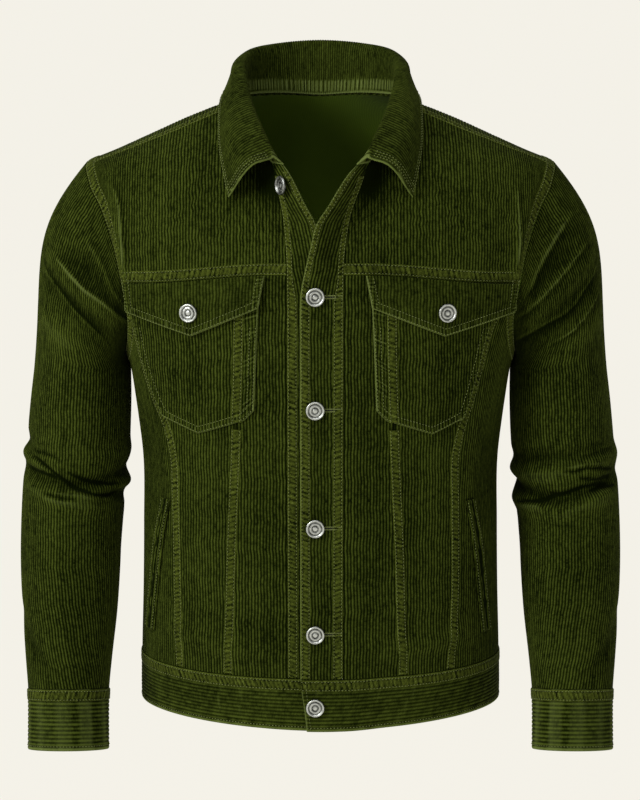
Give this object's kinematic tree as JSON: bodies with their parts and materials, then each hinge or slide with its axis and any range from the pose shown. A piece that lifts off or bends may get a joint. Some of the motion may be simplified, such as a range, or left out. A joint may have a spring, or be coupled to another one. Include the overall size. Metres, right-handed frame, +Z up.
{
  "type": "corduroy jacket",
  "caption": "Button-front corduroy jacket with a turn-down collar, flap chest pockets and slanted hand pockets, filled out as if worn.",
  "frame": {"origin": "between the shoulders at the height of the highest points of the neck seam, where the wearer's shoulders carry the jacket", "axes": "+Z up, -Y the way the wearer faces, +X towards the wearer's left"},
  "size_m": [0.6256, 0.2646, 0.7392],
  "materials": {
    "corduroy": "wide-wale cotton corduroy, dark moss green",
    "button_metal": "worn antique nickel with plain concentric rings"
  },
  "bodies": {
    "root": {"back_panel_centre": "corduroy", "back_panel_side_left": "corduroy", "back_panel_side_right": "corduroy", "back_yoke": "corduroy", "button_flap_left": "button_metal", "button_flap_right": "button_metal", "button_front_1": "button_metal", "button_front_2": "button_metal", "button_front_3": "button_metal", "button_front_4": "button_metal", "button_front_5": "button_metal", "button_neck": "button_metal", "collar": "corduroy", "cuff_left": "corduroy", "cuff_right": "corduroy", "front_panel_centre_left": "corduroy", "front_panel_centre_right": "corduroy", "front_panel_middle_left": "corduroy", "front_panel_middle_right": "corduroy", "front_panel_side_left": "corduroy", "front_panel_side_right": "corduroy", "front_yoke_left": "corduroy", "front_yoke_right": "corduroy", "placket_left": "corduroy", "placket_right": "corduroy", "pocket_flap_left": "corduroy", "pocket_flap_right": "corduroy", "pocket_pouch_left": "corduroy", "pocket_pouch_right": "corduroy", "pocket_welt_left": "corduroy", "pocket_welt_right": "corduroy", "sleeve_left": "corduroy", "sleeve_right": "corduroy", "waistband": "corduroy"}
  },
  "joints": []
}
